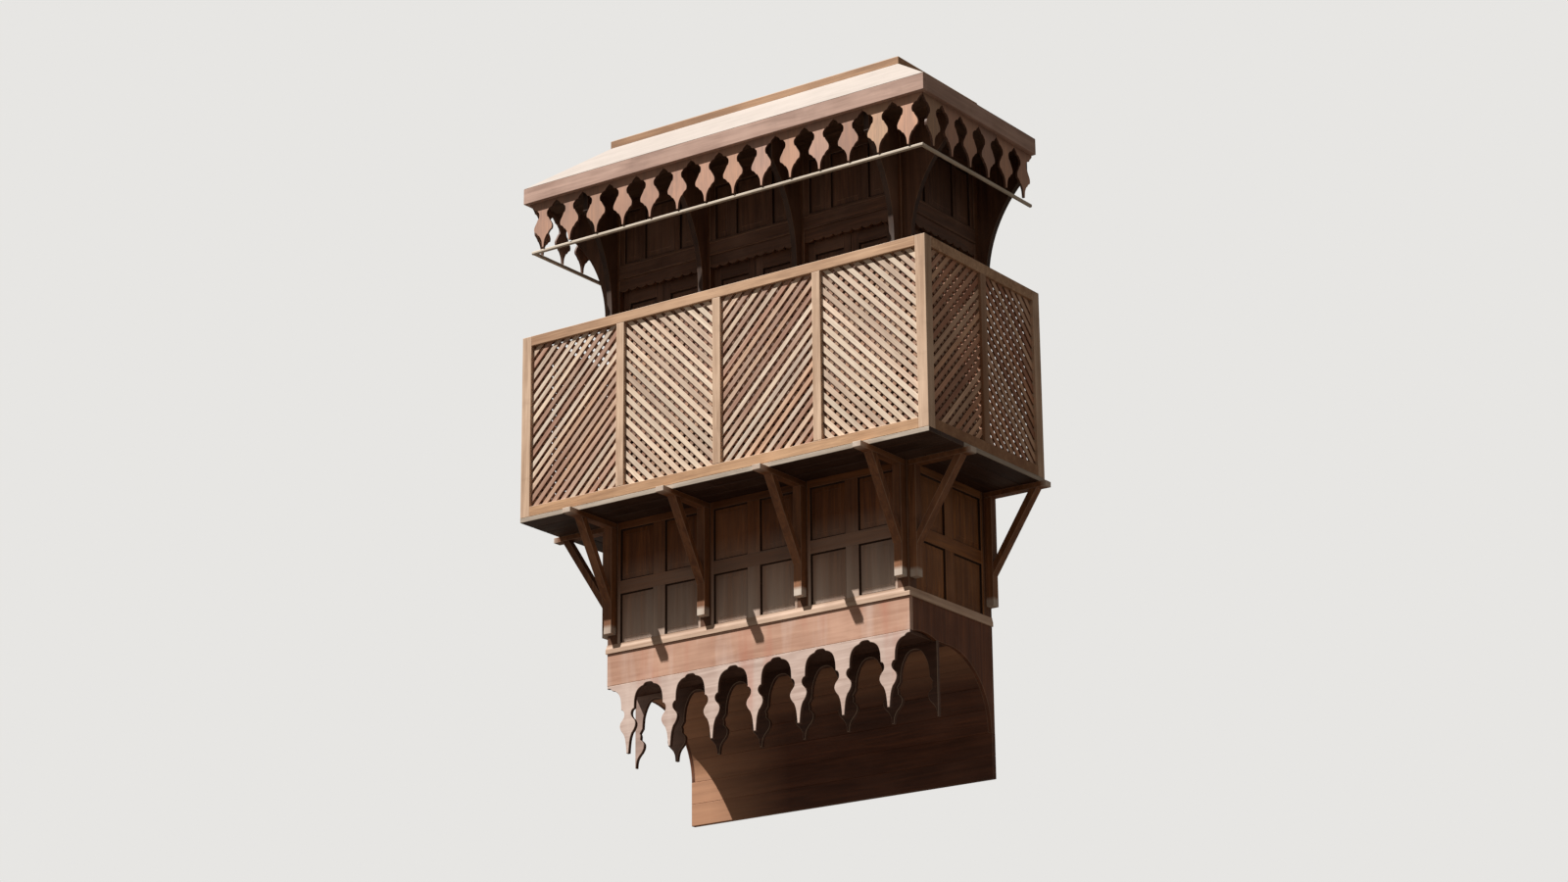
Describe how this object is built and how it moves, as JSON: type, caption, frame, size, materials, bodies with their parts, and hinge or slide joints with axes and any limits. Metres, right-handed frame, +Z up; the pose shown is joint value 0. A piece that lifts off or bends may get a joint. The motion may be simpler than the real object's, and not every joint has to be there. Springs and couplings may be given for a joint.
{
  "type": "mashrabiya oriel bay",
  "caption": "Projecting timber lattice bay for a facade: panelled box with slatted lattice balcony, coved underside, scalloped hanging fringes and a hipped canopy with pickets.",
  "frame": {"origin": "centre of the floor beam's back face, in the wall plane and on the line of symmetry", "axes": "+Z up; +Y into the wall, out of the bay's open back; +X to the right for someone who stands in the bay and looks at the wall's outer side, that is right as seen from the street side facing +Y"},
  "size_m": [2.623, 1.144, 3.658],
  "materials": {
    "frame_wood": "oiled hardwood, sun bleached",
    "lattice_wood": "oiled hardwood slats, mixed tones",
    "panel_wood": "dark oiled hardwood",
    "floor_wood": "bare weathered boards",
    "bracket_wood": "oiled hardwood",
    "apron_wood": "oiled reddish hardwood",
    "moulding_wood": "oiled pale hardwood",
    "fringe_wood": "oiled reddish hardwood, worn edges",
    "cove_wood": "reddish brown boards",
    "fascia_wood": "mauve brown stained board",
    "roof_wood": "boards with dusty pale paint",
    "soffit_wood": "dark oiled boards",
    "picket_wood": "oiled hardwood, alternate tones",
    "rod_wood": "pale bare wood"
  },
  "bodies": {
    "root": {"balcony_bottom_rails": "frame_wood", "balcony_floor_front": "floor_wood", "balcony_floor_sides": "floor_wood", "balcony_joists": "bracket_wood", "balcony_mullions": "frame_wood", "balcony_posts": "frame_wood", "balcony_top_rails": "frame_wood", "bracket_legs": "bracket_wood", "bracket_struts": "bracket_wood", "canopy_brackets": "bracket_wood", "canopy_fascia_front": "fascia_wood", "canopy_fascia_sides": "fascia_wood", "canopy_roof_front": "roof_wood", "canopy_roof_sides": "roof_wood", "canopy_soffit_front": "soffit_wood", "canopy_soffit_sides": "soffit_wood", "corner_posts": "frame_wood", "cove_soffit": "cove_wood", "drip_rod_front": "rod_wood", "drip_rods_side": "rod_wood", "floor_beam": "frame_wood", "floor_deck": "floor_wood", "front_apron": "apron_wood", "front_fringe": "fringe_wood", "head_beam": "frame_wood", "lattice_front_1": "lattice_wood", "lattice_front_2": "lattice_wood", "lattice_front_3": "lattice_wood", "lattice_front_4": "lattice_wood", "lattice_left_1": "lattice_wood", "lattice_left_2": "lattice_wood", "lattice_right_1": "lattice_wood", "lattice_right_2": "lattice_wood", "lower_panels": "panel_wood", "mid_posts": "frame_wood", "pickets_front": "picket_wood", "pickets_sides": "picket_wood", "rear_fringe": "fringe_wood", "shutters": "panel_wood", "side_cheeks": "apron_wood", "sill_moulding_front": "moulding_wood", "sill_moulding_sides": "moulding_wood", "soffit_board": "cove_wood", "top_cap": "frame_wood", "upper_panels": "panel_wood", "valances": "panel_wood", "wall_board": "cove_wood", "wall_jambs": "frame_wood"}
  },
  "joints": []
}
